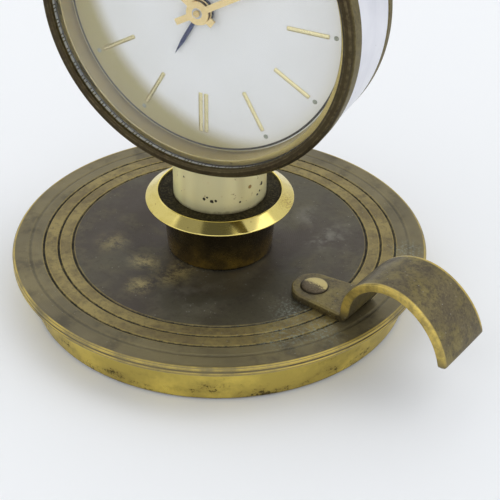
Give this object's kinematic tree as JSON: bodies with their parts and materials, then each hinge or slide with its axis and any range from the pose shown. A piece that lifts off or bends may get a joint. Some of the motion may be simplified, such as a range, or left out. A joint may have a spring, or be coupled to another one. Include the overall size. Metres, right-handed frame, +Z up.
{
  "type": "table alarm clock",
  "caption": "Wind-up alarm clock shaped like a chamber candlestick: round dish with finger strip, cup, drip collar, candle tube and a drum-shaped clock head.",
  "frame": {"origin": "centre of the felt underside, on the surface the clock stands on", "axes": "+Z up along the column; the dial faces -Y; the finger strip points 10.5 degrees in front of +X"},
  "size_m": [0.1194, 0.1, 0.112],
  "materials": {
    "aged_brass": "antiqued dark brown patina over turned brass, edges rubbed bright",
    "worn_brass": "old lacquered brass, olive patina with bright rubbed edges and brown spotting",
    "polished_brass": "highly polished yellow brass",
    "pale_gilt": "pale worn gilding, nearly silver, with dark pits",
    "satin_silver": "satin silver plating",
    "dial_silver": "silvery white satin dial",
    "gilt_trim": "polished gilding",
    "lume": "aged luminous paint",
    "blued_steel": "heat-blued spring steel",
    "movement_brass": "machined brass",
    "steel": "ground steel",
    "iron": "as-cast iron",
    "felt": "dark green felt",
    "clear_glass": "flat clear mineral glass"
  },
  "bodies": {
    "clock": {"base_plate": "aged_brass", "candle_cup": "aged_brass", "front_bezel": "aged_brass", "rear_rim": "aged_brass", "foot_ring": "worn_brass", "handle_strip": "worn_brass", "handle_rivet": "worn_brass", "drip_collar": "polished_brass", "candle_tube": "pale_gilt", "drum_case": "satin_silver", "rear_cover": "satin_silver", "dial_plate": "dial_silver", "rehaut_ring": "gilt_trim", "hour_batons": "gilt_trim", "lume_dots": "lume", "hairspring": "blued_steel", "front_plate": "movement_brass", "back_plate": "movement_brass", "plate_pillars": "movement_brass", "gong_stud": "movement_brass", "head_saddle": "movement_brass", "tie_rod": "steel", "tie_nut": "steel", "tie_washer": "steel", "plate_screws": "steel", "balance_bearing": "steel", "cover_screws": "steel", "base_weight": "iron", "base_felt": "felt", "crystal": "clear_glass"},
    "minute": {"centre_wheel": "movement_brass", "cannon_pinion": "steel", "minute_hand": "gilt_trim"},
    "hour": {"hour_wheel": "movement_brass", "hour_hand": "gilt_trim"},
    "alarm_pointer": {"alarm_wheel": "movement_brass", "alarm_hand": "blued_steel"},
    "time_setting": {"time_set_arbor": "movement_brass", "time_set_knob": "gilt_trim"},
    "alarm_setting": {"alarm_set_arbor": "steel", "alarm_set_knob": "gilt_trim"},
    "time_winding": {"time_arbor": "steel", "time_key": "gilt_trim"},
    "alarm_winding": {"alarm_arbor": "steel", "alarm_key": "gilt_trim"},
    "time_drive": {"time_barrel": "movement_brass", "time_mainspring": "blued_steel"},
    "alarm_drive": {"alarm_barrel": "movement_brass", "alarm_mainspring": "blued_steel"},
    "third": {"third_wheel": "movement_brass"},
    "fourth": {"fourth_wheel": "movement_brass"},
    "escape": {"escape_wheel": "steel"},
    "pallets": {"pallet_lever": "steel"},
    "balance": {"balance_wheel": "gilt_trim"},
    "alarm_star": {"alarm_star_wheel": "steel"},
    "hammer": {"alarm_hammer": "steel"},
    "regulator": {"regulator_lever": "steel"},
    "stop_plunger": {"alarm_stop_plunger": "gilt_trim"}
  },
  "joints": [
    {"name": "minute_turn", "type": "hinge", "parent": "clock", "child": "minute", "pos_m": [0, 0, 0.0748], "axis": [0, 1, 0], "continuous": true},
    {"name": "hour_turn", "type": "hinge", "parent": "clock", "child": "hour", "pos_m": [0, 0, 0.0748], "axis": [0, 1, 0], "continuous": true},
    {"name": "alarm_pointer_turn", "type": "hinge", "parent": "clock", "child": "alarm_pointer", "pos_m": [0, 0, 0.0748], "axis": [0, 1, 0], "continuous": true},
    {"name": "time_set_turn", "type": "hinge", "parent": "clock", "child": "time_setting", "pos_m": [0, 0, 0.0643], "axis": [0, 1, 0], "continuous": true},
    {"name": "alarm_set_turn", "type": "hinge", "parent": "clock", "child": "alarm_setting", "pos_m": [-0.00525, 0, 0.08389], "axis": [0, 1, 0], "continuous": true},
    {"name": "time_key_turn", "type": "hinge", "parent": "clock", "child": "time_winding", "pos_m": [-0.01052, 0, 0.07097], "axis": [0, 1, 0], "range_deg": [0, 1800]},
    {"name": "alarm_key_turn", "type": "hinge", "parent": "clock", "child": "alarm_winding", "pos_m": [0.01146, 0, 0.07063], "axis": [0, 1, 0], "range_deg": [0, 1800]},
    {"name": "time_barrel_turn", "type": "hinge", "parent": "clock", "child": "time_drive", "pos_m": [-0.01052, 0, 0.07097], "axis": [0, 1, 0], "continuous": true},
    {"name": "alarm_barrel_turn", "type": "hinge", "parent": "clock", "child": "alarm_drive", "pos_m": [0.01146, 0, 0.07063], "axis": [0, 1, 0], "continuous": true},
    {"name": "third_turn", "type": "hinge", "parent": "clock", "child": "third", "pos_m": [0.0051, 0, 0.08363], "axis": [0, 1, 0], "continuous": true},
    {"name": "fourth_turn", "type": "hinge", "parent": "clock", "child": "fourth", "pos_m": [0.0006, 0, 0.09143], "axis": [0, 1, 0], "continuous": true},
    {"name": "escape_turn", "type": "hinge", "parent": "clock", "child": "escape", "pos_m": [-0.0072, 0, 0.09005], "axis": [0, 1, 0], "continuous": true},
    {"name": "pallet_rock", "type": "hinge", "parent": "clock", "child": "pallets", "pos_m": [-0.01227, 0, 0.08821], "axis": [0, 1, 0], "range_deg": [-6, 6]},
    {"name": "balance_swing", "type": "hinge", "parent": "clock", "child": "balance", "pos_m": [-0.01606, 0, 0.0828], "axis": [0, 1, 0], "range_deg": [-220, 220], "stiffness_Nm_per_rad": 0.0000014},
    {"name": "star_turn", "type": "hinge", "parent": "clock", "child": "alarm_star", "pos_m": [0.01706, 0, 0.06093], "axis": [0, 1, 0], "continuous": true},
    {"name": "hammer_swing", "type": "hinge", "parent": "clock", "child": "hammer", "pos_m": [0.01145, 0, 0.05831], "axis": [0, 1, 0], "range_deg": [-3, 10], "stiffness_Nm_per_rad": 0.0001},
    {"name": "regulator_turn", "type": "hinge", "parent": "clock", "child": "regulator", "pos_m": [-0.01606, 0, 0.0828], "axis": [0, 1, 0], "range_deg": [-15, 15]},
    {"name": "stop_plunger_pull", "type": "slide", "parent": "clock", "child": "stop_plunger", "axis": [0, 1, 0], "range_m": [0, 0.0028]}
  ],
  "couplings": [
    {"joint": "hour_turn", "follows": "minute_turn", "ratio": 0.083333},
    {"joint": "time_set_turn", "follows": "minute_turn", "ratio": -0.33333},
    {"joint": "time_barrel_turn", "follows": "minute_turn", "ratio": -0.16667},
    {"joint": "third_turn", "follows": "minute_turn", "ratio": -7.5},
    {"joint": "fourth_turn", "follows": "minute_turn", "ratio": 60},
    {"joint": "escape_turn", "follows": "minute_turn", "ratio": -480},
    {"joint": "alarm_set_turn", "follows": "alarm_pointer_turn", "ratio": -3},
    {"joint": "star_turn", "follows": "alarm_barrel_turn", "ratio": -6}
  ]
}
